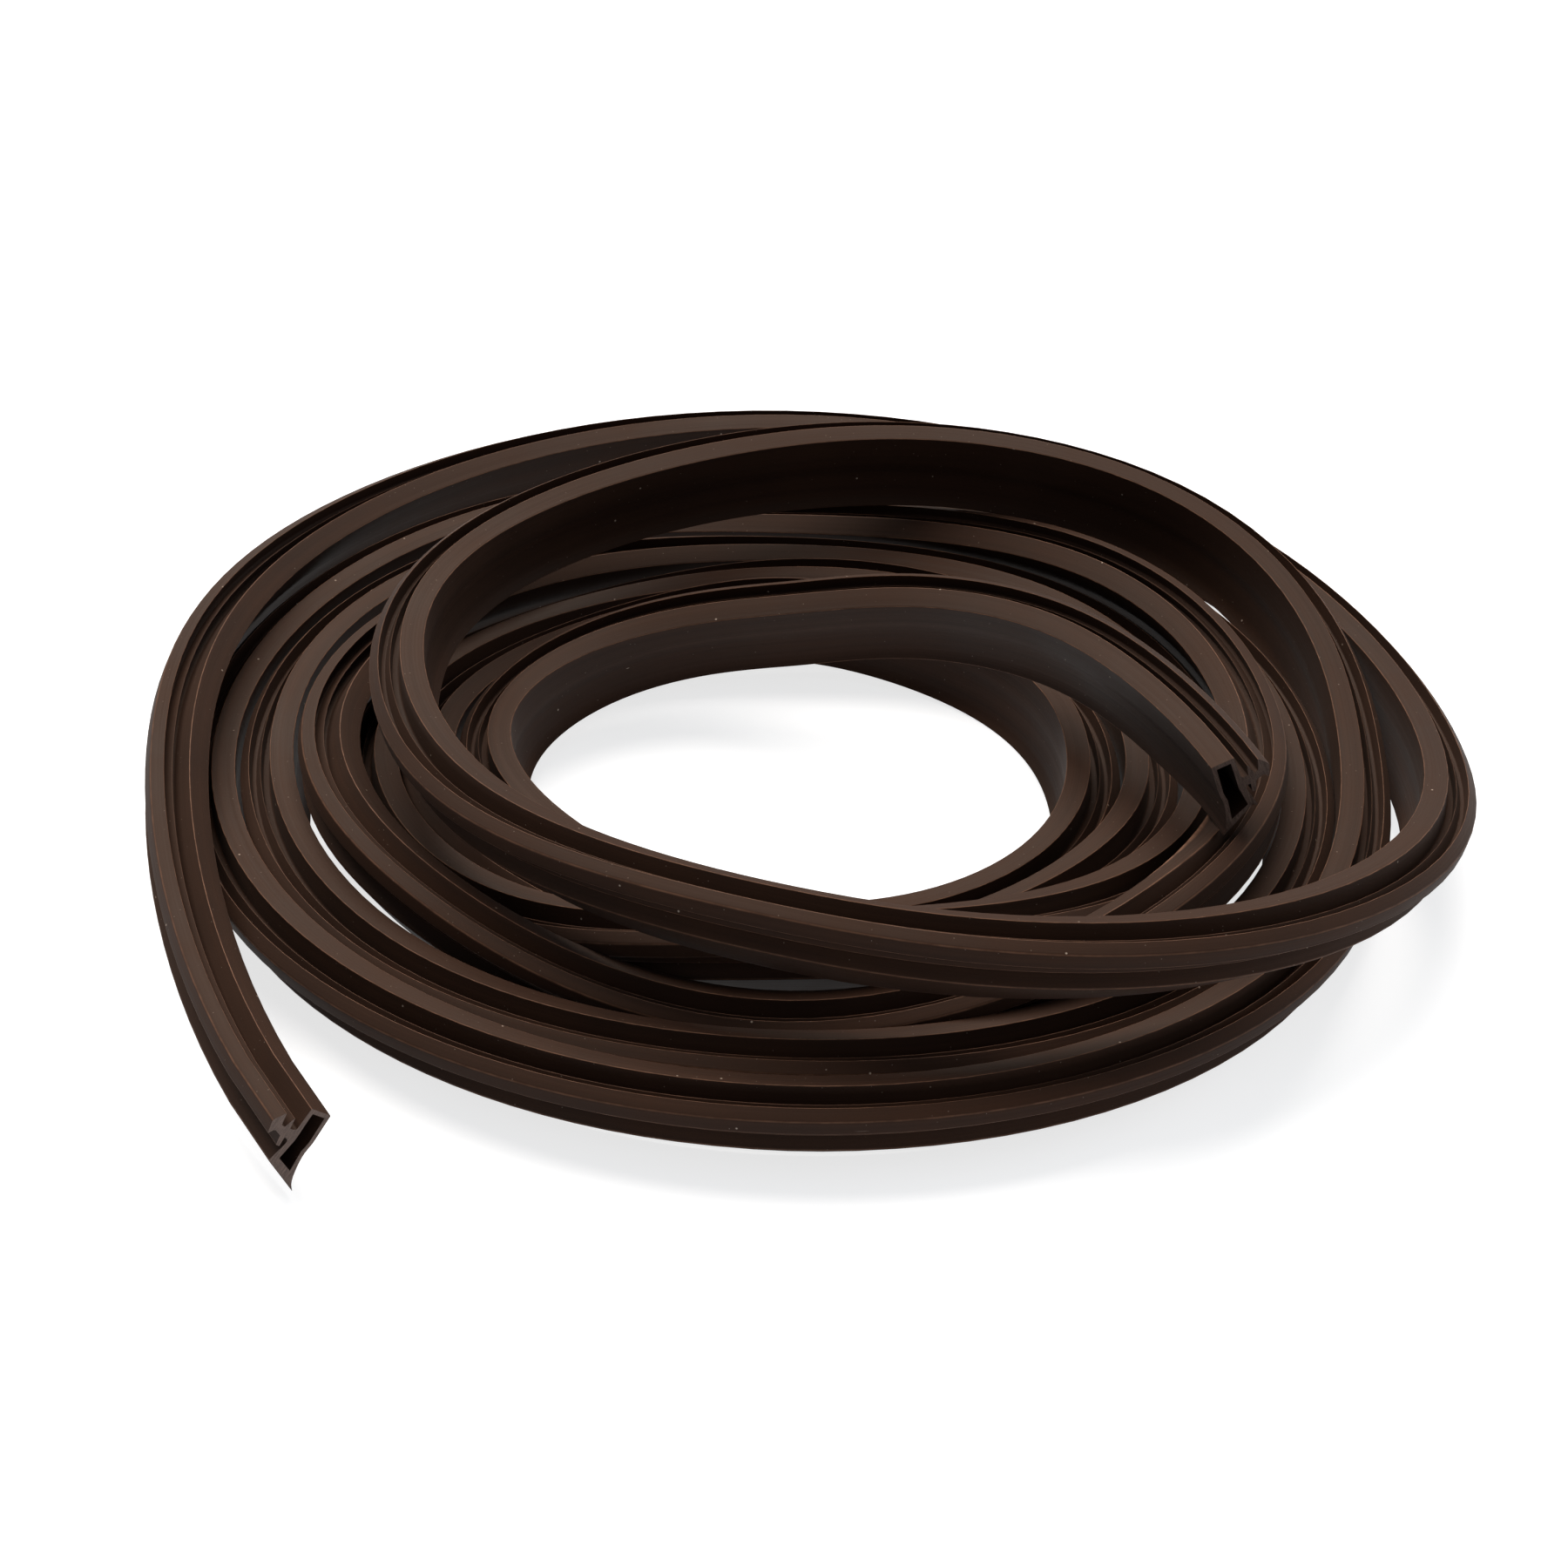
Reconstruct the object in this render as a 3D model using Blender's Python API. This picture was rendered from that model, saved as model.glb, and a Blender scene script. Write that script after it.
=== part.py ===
"""Door seal profile: one hollow rubber strip, lying as a loose coil on a level floor.

Metres, +Z up. The strip is a single section carried along one route of nearly eight turns.
"""
import math

import bpy
from mathutils import Vector
from mathutils.geometry import tessellate_polygon

for old in list(bpy.data.objects):
    bpy.data.objects.remove(old, do_unlink=True)

MM = 0.001

# Section sizes in mm. "Out" is away from the coil's middle, "down" is below the flat top.
TOP_WIDTH = 5.3
WALL = 1.0
HEIGHT_OVERALL = 18.4

# The neck joins the arrow foot to the chamber's outer wall
NECK_TOP = 5.5
NECK_SAG = 0.2
NECK_BOTTOM = 7.7
NECK_LEAN = 0.2

# Two thin fins stand on the neck, one up and one down
FIN_OUT = 1.8
FIN_ROOT = 1.5
FIN_RISE = 2.4
FIN_DROP = 2.3
FIN_TIP = 0.9
FIN_SHIFT = 0.2

# The arrow head at the end of the neck
HEAD_START = 4.2
WING_OUT = 4.85
WING_RISE = 2.8
NOSE_OUT = 7.0
NOSE_DOWN = 5.1
BARB_OUT = 6.1
BARB_DOWN = 8.2
BARB_ROOT_OUT = 5.1
BARB_ROOT_DOWN = 6.9

# The outer wall swells below the neck to the sole's outer corner. Each "rise" is measured up
# from the lip's tip.
BELLY_OUT = 0.35
BELLY_DOWN = 8.2
SOLE_OUT = 1.9
SOLE_RISE = 4.7

# The inner wall, pinched in the middle, runs down into the long sealing lip
WAIST_IN = 5.1
WAIST_DOWN = 9.5
SHOULDER_IN = 5.5
SHOULDER_DOWN = 7.2
HIP_IN = 5.3
HIP_RISE = 6.4
LIP_ROOT_IN = 6.1
LIP_ROOT_RISE = 3.0
LIP_MID_IN = 6.9
LIP_MID_RISE = 1.3
LIP_TIP_IN = 8.2

# The chamber's lower end
CHAMBER_FLOOR_OUT = -0.2
CHAMBER_FLOOR_RISE = 5.9
CHAMBER_TOE_IN = 4.5
CHAMBER_TOE_RISE = 4.1

# The route is the outer edge of the flat top. It is set at every eighth of a turn, clockwise
# from above: left, back left, back, back right, right, front right, front, front left.
KNOT_ANGLE = 45
FIRST_KNOT_ANGLE = -90
START_ANGLE = -57
END_ANGLE = 2733
STATION_ANGLE = 18

# Distance from the coil's middle in mm: two places before the first turn, then one row a turn
RADIUS = [
    238.0, 159.0,
    132.5, 142.8, 154.5, 145.5, 146.1, 148.6, 111.5, 92.5,
    86.0, 87.0, 94.5, 130.2, 129.5, 139.6, 139.5, 132.8,
    129.5, 130.0, 124.0, 115.5, 115.6, 124.9, 124.2, 119.0,
    116.5, 116.0, 102.5, 100.3, 101.6, 112.4, 109.2, 102.5,
    99.8, 91.2, 88.0, 92.2, 94.5, 100.2, 95.2, 90.7,
    93.0, 83.5, 73.5, 79.8, 81.3, 87.3, 86.0, 76.7,
    80.2, 69.5, 59.0, 67.0, 68.0, 75.0, 74.0, 64.0,
    67.5, 54.0, 38.5, 44.0, 67.0, 147.0, 361.0,
]

# Height of the flat top's outer edge above the floor in mm
HEIGHT = [
    14.0, 22.6,
    31.0, 25.0, 20.5, 20.0, 22.5, 42.5, 49.5, 47.0,
    47.5, 46.0, 47.2, 34.3, 20.0, 19.0, 20.0, 19.5,
    18.5, 20.0, 19.5, 18.5, 18.5, 18.5, 21.0, 19.5,
    20.5, 20.5, 20.3, 26.5, 29.5, 32.0, 20.5, 27.0,
    28.0, 25.0, 20.0, 19.5, 19.0, 27.0, 33.0, 19.5,
    19.5, 18.5, 22.0, 19.5, 18.0, 23.5, 21.0, 20.0,
    19.5, 20.5, 24.5, 18.5, 18.5, 19.5, 19.5, 19.0,
    22.0, 27.0, 34.0, 40.0, 46.8, 52.0, 58.0,
]

# Lean of the section in degrees, negative when its top falls toward the middle
LEAN = [
    -36, -39,
    -40, -26, -12, -4, 5, -9, -25, -13,
    -1, -13, -14, -3, 8, -4, -11, -6,
    -1, -9, -5, -3, 1, 2, -13, -9,
    1, -7, -31, -34, -27, -28, -11, -27,
    -33, -31, -19, -12, -2, -10, -25, -4,
    -6, 2, -19, -10, 4, -12, -17, -7,
    -6, -4, -23, -2, 1, -2, -5, -3,
    2, -23, -30, -30, -25, -15, -5,
]

RUBBER_COLOUR = (0.045, 0.027, 0.021, 1.0)
RUBBER_ROUGHNESS = 0.5


def section_outline():
    """Outer edge of the section as (out, down) in mm, starting at the top's inner corner."""
    fin_end = FIN_OUT + FIN_ROOT
    return [
        (-TOP_WIDTH, 0.0),
        (0.0, 0.0),
        (NECK_LEAN, NECK_TOP),
        (FIN_OUT, NECK_TOP + NECK_SAG),
        (FIN_OUT + FIN_TIP / 2, NECK_TOP - FIN_RISE),
        (fin_end, NECK_TOP + NECK_SAG),
        (HEAD_START, NECK_TOP),
        (WING_OUT, NECK_TOP - WING_RISE),
        (NOSE_OUT, NOSE_DOWN),
        (BARB_OUT, BARB_DOWN),
        (BARB_ROOT_OUT, BARB_ROOT_DOWN),
        (fin_end - FIN_SHIFT, NECK_BOTTOM),
        (FIN_OUT + FIN_TIP - FIN_SHIFT, NECK_BOTTOM + FIN_DROP),
        (FIN_OUT - FIN_SHIFT, NECK_BOTTOM + FIN_DROP),
        (FIN_OUT, NECK_BOTTOM),
        (BELLY_OUT, BELLY_DOWN),
        (SOLE_OUT, HEIGHT_OVERALL - SOLE_RISE),
        (-LIP_TIP_IN, HEIGHT_OVERALL),
        (-LIP_MID_IN, HEIGHT_OVERALL - LIP_MID_RISE),
        (-LIP_ROOT_IN, HEIGHT_OVERALL - LIP_ROOT_RISE),
        (-HIP_IN, HEIGHT_OVERALL - HIP_RISE),
        (-WAIST_IN, WAIST_DOWN),
        (-SHOULDER_IN, SHOULDER_DOWN),
    ]


def section_chamber():
    """Edge of the hollow chamber as (out, down) in mm, same sense as the outer edge."""
    return [
        (-TOP_WIDTH + WALL, WALL),
        (-WALL, WALL),
        (-WALL, NECK_BOTTOM),
        (CHAMBER_FLOOR_OUT, HEIGHT_OVERALL - CHAMBER_FLOOR_RISE),
        (-CHAMBER_TOE_IN, HEIGHT_OVERALL - CHAMBER_TOE_RISE),
        (-WAIST_IN + WALL, WAIST_DOWN),
        (-SHOULDER_IN + WALL, SHOULDER_DOWN),
    ]


def curvature(values):
    """Second differences of the smooth curve through evenly spaced values."""
    count = len(values)
    ratio = [0.0] * count
    known = [0.0] * count
    for i in range(1, count - 1):
        pull = 6.0 * (values[i + 1] - 2.0 * values[i] + values[i - 1])
        scale = 4.0 - ratio[i - 1]
        ratio[i] = 1.0 / scale
        known[i] = (pull - known[i - 1]) / scale
    result = [0.0] * count
    for i in range(count - 2, 0, -1):
        result[i] = known[i] - ratio[i] * result[i + 1]
    return result


RADIUS_BEND = curvature(RADIUS)
HEIGHT_BEND = curvature(HEIGHT)
LEAN_BEND = curvature(LEAN)


def smooth(values, bend, angle):
    """Value at an angle, straight on beyond the first and last set points."""
    place = (angle - FIRST_KNOT_ANGLE) / KNOT_ANGLE
    last = len(values) - 1
    if place < 0:
        slope = values[1] - values[0] - bend[1] / 6.0
        return values[0] + slope * place
    if place > last:
        slope = values[last] - values[last - 1] + bend[last - 1] / 6.0
        return values[last] + slope * (place - last)
    i = min(int(place), last - 1)
    b = place - i
    a = 1.0 - b
    straight = a * values[i] + b * values[i + 1]
    return straight + ((a ** 3 - a) * bend[i] + (b ** 3 - b) * bend[i + 1]) / 6.0


def route_point(angle):
    """Place of the top's outer edge at an angle, in mm."""
    radius = smooth(RADIUS, RADIUS_BEND, angle)
    turn = math.radians(angle)
    height = smooth(HEIGHT, HEIGHT_BEND, angle)
    return Vector((-radius * math.cos(turn), radius * math.sin(turn), height))


def station(angle, points):
    """Section points carried to one place on the route, square to its run."""
    here = route_point(angle)
    run = route_point(angle + 0.5) - route_point(angle - 0.5)
    run.normalize()
    out = Vector((-run.y, run.x, 0.0))
    out.normalize()
    up = out.cross(run)
    if up.z < 0:
        up = -up
    lean = math.radians(smooth(LEAN, LEAN_BEND, angle))
    level_out = out * math.cos(lean) - up * math.sin(lean)
    down = -out * math.sin(lean) - up * math.cos(lean)
    return [here + level_out * u + down * v for u, v in points]


outline = section_outline()
chamber = section_chamber()
section = outline + chamber
angles = [START_ANGLE]
angle = (START_ANGLE // STATION_ANGLE + 2) * STATION_ANGLE
while angle < END_ANGLE - STATION_ANGLE / 3:
    angles.append(angle)
    angle += STATION_ANGLE
angles.append(END_ANGLE)

verts = []
for angle in angles:
    verts += station(angle, section)

# Set the coil on the floor with its middle over the origin
low = [min(v[k] for v in verts) for k in range(3)]
high = [max(v[k] for v in verts) for k in range(3)]
shift = Vector(((low[0] + high[0]) / 2, (low[1] + high[1]) / 2, low[2]))
verts = [(v - shift) * MM for v in verts]

ring = len(section)
rim = len(outline)
faces = []
for s in range(len(angles) - 1):
    near = s * ring
    far = near + ring
    for k in range(rim):
        n = (k + 1) % rim
        faces.append((near + n, near + k, far + k))
        faces.append((near + n, far + k, far + n))
    for k in range(ring - rim):
        n = (k + 1) % (ring - rim)
        faces.append((near + rim + k, near + rim + n, far + rim + n))
        faces.append((near + rim + k, far + rim + n, far + rim + k))

# The two cut ends show the section with the chamber open
loops = [[Vector((u, v, 0.0)) for u, v in outline], [Vector((u, v, 0.0)) for u, v in chamber]]
start_cap = tessellate_polygon(loops)
sense = 0.0
for a, b, c in start_cap:
    sense += (section[b][0] - section[a][0]) * (section[c][1] - section[a][1])
    sense -= (section[c][0] - section[a][0]) * (section[b][1] - section[a][1])
if sense < 0:
    start_cap = [(c, b, a) for a, b, c in start_cap]
final = (len(angles) - 1) * ring
faces += [(a, b, c) for a, b, c in start_cap]
faces += [(final + c, final + b, final + a) for a, b, c in start_cap]

mesh = bpy.data.meshes.new("seal_strip")
mesh.from_pydata([tuple(v) for v in verts], [], faces)
mesh.update()
strip = bpy.data.objects.new("seal_strip", mesh)
bpy.context.scene.collection.objects.link(strip)

rubber = bpy.data.materials.new("rubber")
rubber.use_nodes = True
shader = rubber.node_tree.nodes["Principled BSDF"]
shader.inputs["Base Color"].default_value = RUBBER_COLOUR
shader.inputs["Roughness"].default_value = RUBBER_ROUGHNESS
mesh.materials.append(rubber)
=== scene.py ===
"""Door seal profile: one hollow brown rubber strip, lying as a loose coil on a pale floor.

Metres, +Z up. The strip here has the rounded corners and fine surface of the moulded rubber.
"""

import math

import bpy
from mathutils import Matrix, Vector
from mathutils.bvhtree import BVHTree
from mathutils.geometry import tessellate_polygon


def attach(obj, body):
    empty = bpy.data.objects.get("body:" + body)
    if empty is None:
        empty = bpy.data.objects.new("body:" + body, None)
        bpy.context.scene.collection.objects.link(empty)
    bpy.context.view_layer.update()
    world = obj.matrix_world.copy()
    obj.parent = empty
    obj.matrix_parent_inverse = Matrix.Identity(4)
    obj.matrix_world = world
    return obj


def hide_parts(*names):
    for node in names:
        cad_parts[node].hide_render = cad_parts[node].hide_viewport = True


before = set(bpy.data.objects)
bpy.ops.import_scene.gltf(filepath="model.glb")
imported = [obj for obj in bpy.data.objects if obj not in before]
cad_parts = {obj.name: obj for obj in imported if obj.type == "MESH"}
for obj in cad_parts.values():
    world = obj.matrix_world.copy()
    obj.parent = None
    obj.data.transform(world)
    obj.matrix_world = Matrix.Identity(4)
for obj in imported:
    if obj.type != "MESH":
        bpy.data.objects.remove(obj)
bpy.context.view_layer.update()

MM = 0.001

# Camera: a long lens looking down at the coil from the front
CAMERA_LENS = 120.0
CAMERA_SENSOR = 36.0
CAMERA_DISTANCE = 1.2
CAMERA_ELEVATION = 31.5
CAMERA_TARGET = Vector((-0.0056, 0.0053, 0.0006))

# Section sizes in mm. "Out" is away from the coil's middle, "down" is below the flat top.
TOP_WIDTH = 5.3
WALL = 1.0
HEIGHT_OVERALL = 18.4

# The neck joins the arrow foot to the chamber's outer wall
NECK_TOP = 5.5
NECK_SAG = 0.2
NECK_BOTTOM = 7.7
NECK_LEAN = 0.2

# Two thin fins stand on the neck, one up and one down
FIN_OUT = 1.8
FIN_ROOT = 1.5
FIN_RISE = 2.4
FIN_DROP = 2.3
FIN_TIP = 0.9
FIN_SHIFT = 0.2

# The arrow head at the end of the neck
HEAD_START = 4.2
WING_OUT = 4.85
WING_RISE = 2.8
NOSE_OUT = 7.0
NOSE_DOWN = 5.1
BARB_OUT = 6.1
BARB_DOWN = 8.2
BARB_ROOT_OUT = 5.1
BARB_ROOT_DOWN = 6.9

# The outer wall swells below the neck to the sole's outer corner. Each "rise" is measured up
# from the lip's tip.
BELLY_OUT = 0.35
BELLY_DOWN = 8.2
SOLE_OUT = 1.9
SOLE_RISE = 4.7

# The inner wall, pinched in the middle, runs down into the long sealing lip
WAIST_IN = 5.1
WAIST_DOWN = 9.5
SHOULDER_IN = 5.5
SHOULDER_DOWN = 7.2
HIP_IN = 5.3
HIP_RISE = 6.4
LIP_ROOT_IN = 6.1
LIP_ROOT_RISE = 3.0
LIP_MID_IN = 6.9
LIP_MID_RISE = 1.3
LIP_TIP_IN = 8.2

# The chamber's lower end
CHAMBER_FLOOR_OUT = -0.2
CHAMBER_FLOOR_RISE = 5.9
CHAMBER_TOE_IN = 4.5
CHAMBER_TOE_RISE = 4.1

# How far each kind of corner is rounded, in mm along its two sides, and the most of a side that
# one corner may take
CRISP = 0.22
EASED = 0.5
BROAD = 1.1
SIDE_SHARE = 0.42

# Where turns press on each other, the skin gives way in steps, in metres, and the dent fades out
# over the next stations along the strip. Faces fewer than PRESS_APART stations apart are
# neighbours and don't press.
PRESS_STEP = 0.0001
PRESS_ROUNDS = 12
PRESS_FADE = (1.0, 0.7, 0.4, 0.2)
PRESS_APART = 6

# The route is the outer edge of the flat top. It is set at every eighth of a turn, clockwise
# from above: left, back left, back, back right, right, front right, front, front left.
KNOT_ANGLE = 45
FIRST_KNOT_ANGLE = -90
START_ANGLE = -57
END_ANGLE = 2733

# The solid model has a section every STATION_ANGLE degrees, and the strip here every FINE_ANGLE.
# RUN_ANGLE is how far before and after a place its run is measured.
STATION_ANGLE = 18
FINE_ANGLE = 3
RUN_ANGLE = 0.5

# Distance from the coil's middle in mm: two places before the first turn, then one row a turn
RADIUS = [
    238.0, 159.0,
    132.5, 142.8, 154.5, 145.5, 146.1, 148.6, 111.5, 92.5,
    86.0, 87.0, 94.5, 130.2, 129.5, 139.6, 139.5, 132.8,
    129.5, 130.0, 124.0, 115.5, 115.6, 124.9, 124.2, 119.0,
    116.5, 116.0, 102.5, 100.3, 101.6, 112.4, 109.2, 102.5,
    99.8, 91.2, 88.0, 92.2, 94.5, 100.2, 95.2, 90.7,
    93.0, 83.5, 73.5, 79.8, 81.3, 87.3, 86.0, 76.7,
    80.2, 69.5, 59.0, 67.0, 68.0, 75.0, 74.0, 64.0,
    67.5, 54.0, 38.5, 44.0, 67.0, 147.0, 361.0,
]

# Height of the flat top's outer edge above the floor in mm
HEIGHT = [
    14.0, 22.6,
    31.0, 25.0, 20.5, 20.0, 22.5, 42.5, 49.5, 47.0,
    47.5, 46.0, 47.2, 34.3, 20.0, 19.0, 20.0, 19.5,
    18.5, 20.0, 19.5, 18.5, 18.5, 18.5, 21.0, 19.5,
    20.5, 20.5, 20.3, 26.5, 29.5, 32.0, 20.5, 27.0,
    28.0, 25.0, 20.0, 19.5, 19.0, 27.0, 33.0, 19.5,
    19.5, 18.5, 22.0, 19.5, 18.0, 23.5, 21.0, 20.0,
    19.5, 20.5, 24.5, 18.5, 18.5, 19.5, 19.5, 19.0,
    22.0, 27.0, 34.0, 40.0, 46.8, 52.0, 58.0,
]

# Lean of the section in degrees, negative when its top falls toward the middle
LEAN = [
    -36, -39,
    -40, -26, -12, -4, 5, -9, -25, -13,
    -1, -13, -14, -3, 8, -4, -11, -6,
    -1, -9, -5, -3, 1, 2, -13, -9,
    1, -7, -31, -34, -27, -28, -11, -27,
    -33, -31, -19, -12, -2, -10, -25, -4,
    -6, 2, -19, -10, 4, -12, -17, -7,
    -6, -4, -23, -2, 1, -2, -5, -3,
    2, -23, -30, -30, -25, -15, -5,
]

# Rubber: colour of its lighter and deeper patches, of its pale edges (partly rubbed rubber, partly
# a painted highlight), of a fresh cut, and of dust
RUBBER = (0.0245, 0.0106, 0.0057, 1.0)
RUBBER_DEEP = (0.0155, 0.0068, 0.0038, 1.0)
RUBBER_EDGE_WEAR_AND_HIGHLIGHT = (0.15, 0.08, 0.052, 1.0)
RUBBER_CUT = (0.115, 0.076, 0.062, 1.0)
DUST = (0.34, 0.29, 0.25, 1.0)

# Pattern sizes of the rubber: cells per metre along and across the strip, or the same every way
DRAWN_LINES = (9.0, 2600.0, 1.0)
DRAWN_BANDS = (5.0, 420.0, 1.0)
THREADS = (90.0, 420.0, 1.0)
SCUFFS = (28.0, 700.0, 1.0)
BLADE_MARKS = (2600.0, 300.0, 1.0)
CLOUDS = 38.0
MOTTLE = 260.0
GRAIN = 2400.0
CUT_GRAIN = 4200.0
DUST_DOTS = 330.0
FINE_DUST_DOTS = 900.0

# Height of the relief in metres, on the skin and on the cut ends
SKIN_RELIEF = 0.00012
CUT_RELIEF = 0.0001

# Floor: the slightly cool grey that looks neutral in the warm light, and its own faint glow
FLOOR = (0.36, 0.395, 0.44, 1.0)
FLOOR_GLOW = 0.74
FLOOR_REACH = 6.0

# Lights: where each comes from, its spread in degrees, strength and colour
KEY_FROM = (-0.2, 0.65, 1.0)
KEY_SPREAD = 60.0
KEY_LIGHT = 6.8
KEY_COLOUR = (1.0, 0.86, 0.73)
SIDE_FROM = (1.0, 0.2, 0.4)
SIDE_SPREAD = 50.0
SIDE_LIGHT = 0.8
SIDE_COLOUR = (1.0, 0.95, 0.9)
WORLD_LIGHT = 0.33
WHITE = (1.0, 1.0, 1.0, 1.0)


def section_outline():
    """Outer edge of the section as (out, down, rounding, pale edge share), from the top's inner
    corner; the pale edge share is partly rubbing and partly a painted highlight.
    """
    fin_end = FIN_OUT + FIN_ROOT
    return [
        (-TOP_WIDTH, 0.0, CRISP, 1.0),
        (0.0, 0.0, CRISP, 1.0),
        (NECK_LEAN, NECK_TOP, EASED, 0.0),
        (FIN_OUT, NECK_TOP + NECK_SAG, CRISP, 0.0),
        (FIN_OUT + FIN_TIP / 2, NECK_TOP - FIN_RISE, CRISP, 0.7),
        (fin_end, NECK_TOP + NECK_SAG, CRISP, 0.0),
        (HEAD_START, NECK_TOP, CRISP, 0.0),
        (WING_OUT, NECK_TOP - WING_RISE, CRISP, 1.0),
        (NOSE_OUT, NOSE_DOWN, EASED, 0.6),
        (BARB_OUT, BARB_DOWN, CRISP, 0.9),
        (BARB_ROOT_OUT, BARB_ROOT_DOWN, EASED, 0.0),
        (fin_end - FIN_SHIFT, NECK_BOTTOM, CRISP, 0.0),
        (FIN_OUT + FIN_TIP - FIN_SHIFT, NECK_BOTTOM + FIN_DROP, CRISP, 0.7),
        (FIN_OUT - FIN_SHIFT, NECK_BOTTOM + FIN_DROP, CRISP, 0.7),
        (FIN_OUT, NECK_BOTTOM, EASED, 0.0),
        (BELLY_OUT, BELLY_DOWN, BROAD, 0.0),
        (SOLE_OUT, HEIGHT_OVERALL - SOLE_RISE, EASED, 0.6),
        (-LIP_TIP_IN, HEIGHT_OVERALL, CRISP, 1.0),
        (-LIP_MID_IN, HEIGHT_OVERALL - LIP_MID_RISE, BROAD, 0.0),
        (-LIP_ROOT_IN, HEIGHT_OVERALL - LIP_ROOT_RISE, BROAD, 0.0),
        (-HIP_IN, HEIGHT_OVERALL - HIP_RISE, BROAD, 0.0),
        (-WAIST_IN, WAIST_DOWN, BROAD, 0.0),
        (-SHOULDER_IN, SHOULDER_DOWN, BROAD, 0.0),
    ]


def section_chamber():
    """Edge of the hollow chamber as (out, down) in mm, same sense as the outer edge."""
    return [
        (-TOP_WIDTH + WALL, WALL),
        (-WALL, WALL),
        (-WALL, NECK_BOTTOM),
        (CHAMBER_FLOOR_OUT, HEIGHT_OVERALL - CHAMBER_FLOOR_RISE),
        (-CHAMBER_TOE_IN, HEIGHT_OVERALL - CHAMBER_TOE_RISE),
        (-WAIST_IN + WALL, WAIST_DOWN),
        (-SHOULDER_IN + WALL, SHOULDER_DOWN),
    ]


def rounded(corners):
    """Closed outline with every corner turned into a short curve: places, and the share of pale
    edge colour, partly rubbing and partly painted highlight.
    """
    places = []
    wear_and_highlight = []
    count = len(corners)
    for i in range(count):
        u, v, reach, worn_and_highlit = corners[i]
        here = Vector((u, v))
        before = Vector(corners[i - 1][:2]) - here
        after = Vector(corners[(i + 1) % count][:2]) - here
        a = here + before.normalized() * min(reach, before.length * SIDE_SHARE)
        b = here + after.normalized() * min(reach, after.length * SIDE_SHARE)
        middle = a * 0.25 + here * 0.5 + b * 0.25
        for spot, share in ((a, 0.0), (middle, 1.0), (b, 0.0)):
            places.append((spot.x, spot.y))
            wear_and_highlight.append(worn_and_highlit * share)
    return places, wear_and_highlight


def curvature(values):
    """Second differences of the smooth curve through evenly spaced values."""
    count = len(values)
    ratio = [0.0] * count
    known = [0.0] * count
    for i in range(1, count - 1):
        pull = 6.0 * (values[i + 1] - 2.0 * values[i] + values[i - 1])
        scale = 4.0 - ratio[i - 1]
        ratio[i] = 1.0 / scale
        known[i] = (pull - known[i - 1]) / scale
    result = [0.0] * count
    for i in range(count - 2, 0, -1):
        result[i] = known[i] - ratio[i] * result[i + 1]
    return result


RADIUS_BEND = curvature(RADIUS)
HEIGHT_BEND = curvature(HEIGHT)
LEAN_BEND = curvature(LEAN)


def smooth(values, bend, angle):
    """Value at an angle, straight on beyond the first and last set points."""
    place = (angle - FIRST_KNOT_ANGLE) / KNOT_ANGLE
    last = len(values) - 1
    if place < 0:
        slope = values[1] - values[0] - bend[1] / 6.0
        return values[0] + slope * place
    if place > last:
        slope = values[last] - values[last - 1] + bend[last - 1] / 6.0
        return values[last] + slope * (place - last)
    i = min(int(place), last - 1)
    b = place - i
    a = 1.0 - b
    straight = a * values[i] + b * values[i + 1]
    return straight + ((a ** 3 - a) * bend[i] + (b ** 3 - b) * bend[i + 1]) / 6.0


def route_point(angle):
    """Place of the top's outer edge at an angle, in mm."""
    radius = smooth(RADIUS, RADIUS_BEND, angle)
    turn = math.radians(angle)
    height = smooth(HEIGHT, HEIGHT_BEND, angle)
    return Vector((-radius * math.cos(turn), radius * math.sin(turn), height))


def station(angle, points):
    """Section points carried to one place on the route, square to its run."""
    here = route_point(angle)
    run = route_point(angle + RUN_ANGLE) - route_point(angle - RUN_ANGLE)
    run.normalize()
    out = Vector((-run.y, run.x, 0.0))
    out.normalize()
    up = out.cross(run)
    if up.z < 0:
        up = -up
    lean = math.radians(smooth(LEAN, LEAN_BEND, angle))
    level_out = out * math.cos(lean) - up * math.sin(lean)
    down = -out * math.sin(lean) - up * math.cos(lean)
    return [here + level_out * u + down * v for u, v in points]


def route_angles(step):
    """Angles of the stations, the two cut ends included."""
    angles = [START_ANGLE]
    angle = (START_ANGLE // step + 2) * step
    while angle < END_ANGLE - step / 3:
        angles.append(angle)
        angle += step
    angles.append(END_ANGLE)
    return angles


def coil_shift():
    """Offset that sets the coil on the floor with its middle over the origin, in mm."""
    plain = [corner[:2] for corner in section_outline()]
    verts = []
    for angle in route_angles(STATION_ANGLE):
        verts += station(angle, plain)
    low = [min(v[k] for v in verts) for k in range(3)]
    high = [max(v[k] for v in verts) for k in range(3)]
    return Vector(((low[0] + high[0]) / 2, (low[1] + high[1]) / 2, low[2]))


def cut_end(outline, chamber):
    """Triangles over the section with the chamber left open, facing the start of the strip."""
    loops = [
        [Vector((u, v, 0.0)) for u, v in outline],
        [Vector((u, v, 0.0)) for u, v in chamber],
    ]
    section = outline + chamber
    cap = tessellate_polygon(loops)
    sense = 0.0
    for a, b, c in cap:
        sense += (section[b][0] - section[a][0]) * (section[c][1] - section[a][1])
        sense -= (section[c][0] - section[a][0]) * (section[b][1] - section[a][1])
    if sense < 0:
        cap = [(c, b, a) for a, b, c in cap]
    return cap


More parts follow.
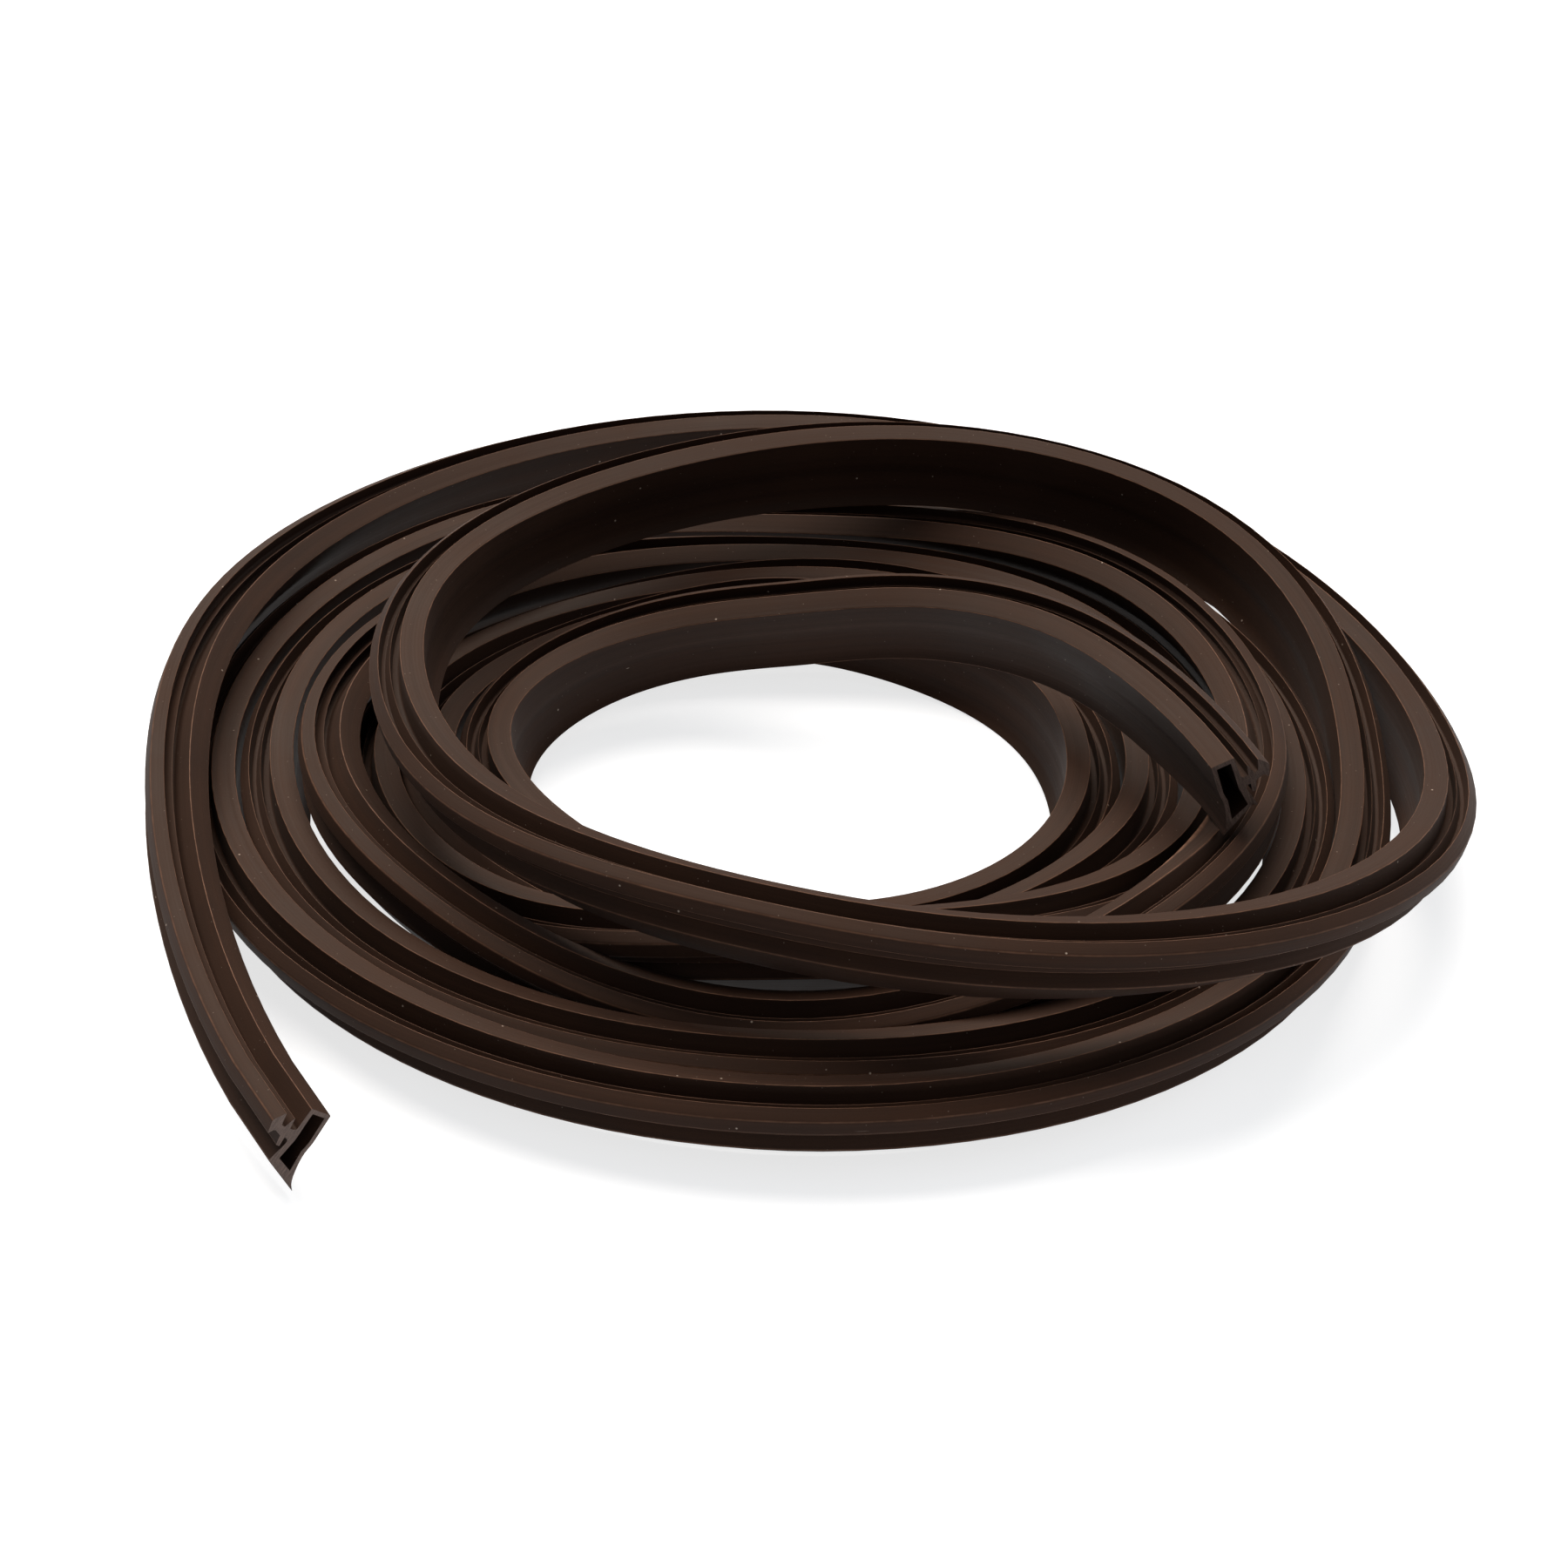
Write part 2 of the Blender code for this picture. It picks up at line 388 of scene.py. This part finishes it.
def pressed(verts, faces, ring):
    """Skin pushed in toward its own section, in small steps, where one turn cuts another."""
    for _ in range(PRESS_ROUNDS):
        tree = BVHTree.FromPolygons(verts, faces)
        shares = {}
        for a, b in tree.overlap(tree):
            if abs(faces[a][0] // ring - faces[b][0] // ring) < PRESS_APART:
                continue
            for i in faces[a]:
                for step, share in enumerate(PRESS_FADE):
                    for near in (i - step * ring, i + step * ring):
                        if 0 <= near < len(verts):
                            shares[near] = max(share, shares.get(near, 0.0))
        if not shares:
            break
        middles = {}
        for i in shares:
            s = i // ring
            if s not in middles:
                middles[s] = sum(verts[s * ring:(s + 1) * ring], Vector()) / ring
        for i, share in shares.items():
            inward = (middles[i // ring] - verts[i]).normalized()
            verts[i] = verts[i] + inward * PRESS_STEP * share
    return verts


def strip_mesh():
    """The whole strip as one closed skin, with lengthwise and crosswise places and the pale edge
    share, partly rubbing and partly painted highlight.
    """
    outline, wear_and_highlight = rounded(section_outline())
    chamber = section_chamber()
    section = outline + chamber
    ring = len(section)
    rim = len(outline)
    shift = coil_shift()
    angles = route_angles(FINE_ANGLE)

    verts = []
    along = [0.0]
    previous = None
    for angle in angles:
        if previous is not None:
            along.append(along[-1] + (route_point(angle) - route_point(previous)).length)
        previous = angle
        verts += [(v - shift) * MM for v in station(angle, section)]

    across = [0.0]
    for k in range(rim):
        here = Vector(outline[k])
        there = Vector(outline[(k + 1) % rim])
        across.append(across[-1] + (there - here).length)

    faces = []
    coords = []
    for s in range(len(angles) - 1):
        near = s * ring
        far = near + ring
        for k in range(rim):
            n = (k + 1) % rim
            faces.append((near + n, near + k, far + k, far + n))
            coords += [
                (along[s], across[k + 1]),
                (along[s], across[k]),
                (along[s + 1], across[k]),
                (along[s + 1], across[k + 1]),
            ]
        for k in range(ring - rim):
            n = (k + 1) % (ring - rim)
            faces.append((near + rim + k, near + rim + n, far + rim + n, far + rim + k))
            coords += [
                (along[s], k),
                (along[s], k + 1),
                (along[s + 1], k + 1),
                (along[s + 1], k),
            ]

    cap = cut_end(outline, chamber)
    skin_faces = len(faces)
    final = (len(angles) - 1) * ring
    faces += [(a, b, c) for a, b, c in cap]
    faces += [(final + c, final + b, final + a) for a, b, c in cap]
    for face in faces[skin_faces:]:
        coords += [(section[i % ring][0], section[i % ring][1]) for i in face]

    verts = pressed(verts, faces, ring)
    mesh = bpy.data.meshes.new("strip_skin")
    mesh.from_pydata([tuple(v) for v in verts], [], faces)
    layer = mesh.uv_layers.new(name="run")
    for i, (u, v) in enumerate(coords):
        layer.data[i].uv = (u * MM, v * MM)
    # Pale edge share at each outline point: partly rubbing, partly a painted highlight
    worn_and_highlit = mesh.attributes.new("edge_wear_and_highlight", "FLOAT", "POINT")
    for s in range(len(angles)):
        for k in range(rim):
            worn_and_highlit.data[s * ring + k].value = wear_and_highlight[k]
    for i, face in enumerate(mesh.polygons):
        face.use_smooth = i < skin_faces
        face.material_index = 0 if i < skin_faces else 1
    mesh.update()
    return mesh


class Nodes:
    """Short way to add nodes to a material and join them."""

    def __init__(self, name):
        self.material = bpy.data.materials.new(name)
        self.material.use_nodes = True
        self.tree = self.material.node_tree
        self.shader = self.tree.nodes["Principled BSDF"]

    def add(self, kind, **settings):
        node = self.tree.nodes.new(kind)
        for key, value in settings.items():
            setattr(node, key, value)
        return node

    def join(self, source, target):
        self.tree.links.new(source, target)

    def noise(self, place, scale, detail=3.0, roughness=0.55):
        node = self.add("ShaderNodeTexNoise")
        node.inputs["Scale"].default_value = scale
        node.inputs["Detail"].default_value = detail
        node.inputs["Roughness"].default_value = roughness
        self.join(place, node.inputs["Vector"])
        return node.outputs["Fac"]

    def stretched(self, place, scale):
        node = self.add("ShaderNodeMapping")
        node.inputs["Scale"].default_value = scale
        self.join(place, node.inputs["Vector"])
        return node.outputs["Vector"]

    def remap(self, value, low, high, out_low, out_high):
        node = self.add("ShaderNodeMapRange")
        node.inputs["From Min"].default_value = low
        node.inputs["From Max"].default_value = high
        node.inputs["To Min"].default_value = out_low
        node.inputs["To Max"].default_value = out_high
        self.join(value, node.inputs["Value"])
        return node.outputs["Result"]

    def math(self, operation, a, b):
        node = self.add("ShaderNodeMath", operation=operation)
        for socket, value in ((node.inputs[0], a), (node.inputs[1], b)):
            if isinstance(value, (int, float)):
                socket.default_value = value
            else:
                self.join(value, socket)
        return node.outputs[0]

    def weighted(self, *parts):
        """Sum of values, each times its share."""
        total = None
        for value, share in parts:
            scaled = self.math("MULTIPLY", value, share)
            total = scaled if total is None else self.math("ADD", total, scaled)
        return total

    def bump(self, height, strength, distance):
        node = self.add("ShaderNodeBump")
        node.inputs["Strength"].default_value = strength
        node.inputs["Distance"].default_value = distance
        self.join(height, node.inputs["Height"])
        self.join(node.outputs["Normal"], self.shader.inputs["Normal"])

    def mix(self, share, a, b):
        node = self.add("ShaderNodeMix", data_type="RGBA")
        self.join(share, node.inputs["Factor"])
        for socket, value in ((node.inputs["A"], a), (node.inputs["B"], b)):
            if isinstance(value, tuple):
                socket.default_value = value
            else:
                self.join(value, socket)
        return node.outputs["Result"]


def specks(nodes, place, scale, size, rare):
    """Small dots scattered thinly: one where a cell is picked and its middle is near."""
    cells = nodes.add("ShaderNodeTexVoronoi")
    cells.inputs["Scale"].default_value = scale
    nodes.join(place, cells.inputs["Vector"])
    split = nodes.add("ShaderNodeSeparateColor")
    nodes.join(cells.outputs["Color"], split.inputs["Color"])
    near = nodes.remap(cells.outputs["Distance"], size, size * 0.5, 0.0, 1.0)
    picked = nodes.math("GREATER_THAN", split.outputs["Red"], rare)
    return nodes.math("MULTIPLY", near, picked)


def rubber_material():
    """Brown moulded rubber: drawn lines along its length, paler edges partly rubbed and partly a
    painted highlight, dust and light scuffs.
    """
    nodes = Nodes("rubber_skin")
    run = nodes.add("ShaderNodeUVMap", uv_map="run").outputs["UV"]
    body = nodes.add("ShaderNodeTexCoord").outputs["Object"]
    # The pale edge share: partly rubbing, partly a painted highlight
    wear_and_highlight = nodes.add("ShaderNodeAttribute", attribute_name="edge_wear_and_highlight").outputs["Fac"]

    # Fine lines from the die run the whole length of the strip
    lines = nodes.noise(nodes.stretched(run, DRAWN_LINES), 1.0, 2.0, 0.5)
    bands = nodes.noise(nodes.stretched(run, DRAWN_BANDS), 1.0, 2.0, 0.5)
    clouds = nodes.noise(body, CLOUDS, 3.0, 0.6)
    grain = nodes.noise(body, GRAIN, 2.0, 0.6)
    mottle = nodes.noise(body, MOTTLE, 3.0, 0.6)

    tone = nodes.weighted((bands, 0.55), (clouds, 0.45))
    base = nodes.mix(nodes.remap(tone, 0.34, 0.66, 0.0, 1.0), RUBBER_DEEP, RUBBER)

    # Edges are paler, and not evenly so: partly rubbed rubber, partly a painted highlight along the
    # sharp edges
    patchy = nodes.remap(mottle, 0.35, 0.62, 0.45, 1.0)
    edge = nodes.math("MULTIPLY", nodes.remap(wear_and_highlight, 0.2, 0.9, 0.0, 0.9), patchy)
    worn_and_highlit = nodes.mix(edge, base, RUBBER_EDGE_WEAR_AND_HIGHLIGHT)

    # Dust specks, short threads of lint and light scuffs
    dots = specks(nodes, body, DUST_DOTS, 0.1, 0.93)
    fine_dots = specks(nodes, body, FINE_DUST_DOTS, 0.14, 0.9)
    threads = specks(nodes, nodes.stretched(run, THREADS), 1.0, 0.045, 0.965)
    scuffs = specks(nodes, nodes.stretched(run, SCUFFS), 1.0, 0.05, 0.95)
    litter = nodes.math("MAXIMUM", dots, threads)
    litter = nodes.math("MAXIMUM", litter, nodes.math("MULTIPLY", fine_dots, 0.35))
    litter = nodes.math("MAXIMUM", litter, nodes.math("MULTIPLY", scuffs, 0.3))
    colour = nodes.mix(nodes.math("MULTIPLY", litter, 0.7), worn_and_highlit, DUST)
    nodes.join(colour, nodes.shader.inputs["Base Color"])

    # The satin sheen varies a little with the drawn lines
    gloss = nodes.weighted((lines, 0.5), (clouds, 0.5))
    rough = nodes.remap(gloss, 0.3, 0.7, 0.6, 0.75)
    rough = nodes.math("ADD", rough, nodes.math("MULTIPLY", litter, 0.3))
    nodes.join(rough, nodes.shader.inputs["Roughness"])
    nodes.shader.inputs["Specular IOR Level"].default_value = 0.1
    nodes.shader.inputs["Sheen Weight"].default_value = 0.01
    nodes.shader.inputs["Sheen Roughness"].default_value = 0.5

    nodes.bump(nodes.weighted((lines, 0.5), (grain, 0.35), (bands, 0.9)), 0.35, SKIN_RELIEF)
    return nodes.material


def cut_material():
    """Freshly cut rubber: paler, duller, with the faint drag marks of the blade."""
    nodes = Nodes("rubber_cut")
    run = nodes.add("ShaderNodeUVMap", uv_map="run").outputs["UV"]
    marks = nodes.noise(nodes.stretched(run, BLADE_MARKS), 1.0, 3.0, 0.6)
    grain = nodes.noise(run, CUT_GRAIN, 2.0, 0.6)
    tone = nodes.weighted((marks, 0.6), (grain, 0.4))
    colour = nodes.mix(nodes.remap(tone, 0.35, 0.65, 0.0, 1.0), RUBBER, RUBBER_CUT)
    nodes.join(colour, nodes.shader.inputs["Base Color"])
    nodes.join(nodes.remap(tone, 0.3, 0.7, 0.55, 0.75), nodes.shader.inputs["Roughness"])
    nodes.shader.inputs["Specular IOR Level"].default_value = 0.4
    nodes.bump(tone, 0.5, CUT_RELIEF)
    return nodes.material


def link(name, data):
    """New object in the scene."""
    made = bpy.data.objects.new(name, data)
    bpy.context.scene.collection.objects.link(made)
    return made


def aimed(thing, place, target):
    """Stands at place and looks at target."""
    thing.location = place
    thing.rotation_euler = (Vector(target) - Vector(place)).to_track_quat("-Z", "Y").to_euler()


def soft_sun(name, towards, spread, strength, colour):
    """Even light over the whole floor from a wide patch of sky, spread in degrees."""
    lamp = bpy.data.lights.new(name, "SUN")
    lamp.angle = math.radians(spread)
    lamp.energy = strength
    lamp.color = colour
    aimed(link(name, lamp), Vector(towards), (0.0, 0.0, 0.0))


# Camera
camera = bpy.data.cameras.new("camera")
camera.lens = CAMERA_LENS
camera.sensor_width = CAMERA_SENSOR
camera.clip_start = 0.01
camera.clip_end = 50.0
camera_object = link("camera", camera)
tilt = math.radians(CAMERA_ELEVATION)
camera_place = CAMERA_TARGET + Vector((0.0, -math.cos(tilt), math.sin(tilt))) * CAMERA_DISTANCE
aimed(camera_object, camera_place, CAMERA_TARGET)
bpy.context.scene.camera = camera_object

# Strip
strip = link("door_seal_strip", strip_mesh())
strip.data.materials.append(rubber_material())
strip.data.materials.append(cut_material())
facing = strip.modifiers.new("even_flats", "WEIGHTED_NORMAL")
facing.keep_sharp = True
facing.weight = 60
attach(strip, "root")
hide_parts("seal_strip")

# Floor
floor_mesh = bpy.data.meshes.new("floor")
corners = [(x * FLOOR_REACH, y * FLOOR_REACH, 0.0) for x, y in ((-1, -1), (1, -1), (1, 1), (-1, 1))]
floor_mesh.from_pydata(corners, [], [(0, 1, 2, 3)])
floor = link("floor", floor_mesh)
floor_look = Nodes("floor_pale")
floor_look.shader.inputs["Base Color"].default_value = FLOOR
floor_look.shader.inputs["Roughness"].default_value = 0.8
floor_look.shader.inputs["Emission Color"].default_value = WHITE
floor_look.shader.inputs["Emission Strength"].default_value = FLOOR_GLOW
floor_look.shader.inputs["Specular IOR Level"].default_value = 0.1
floor_mesh.materials.append(floor_look.material)

# Soft studio light, mostly from above and behind
soft_sun("key", KEY_FROM, KEY_SPREAD, KEY_LIGHT, KEY_COLOUR)
soft_sun("side", SIDE_FROM, SIDE_SPREAD, SIDE_LIGHT, SIDE_COLOUR)
world = bpy.data.worlds.new("studio")
world.use_nodes = True
backdrop = world.node_tree.nodes["Background"]
backdrop.inputs["Color"].default_value = WHITE
backdrop.inputs["Strength"].default_value = WORLD_LIGHT
bpy.context.scene.world = world
bpy.context.scene.view_settings.view_transform = "Standard"
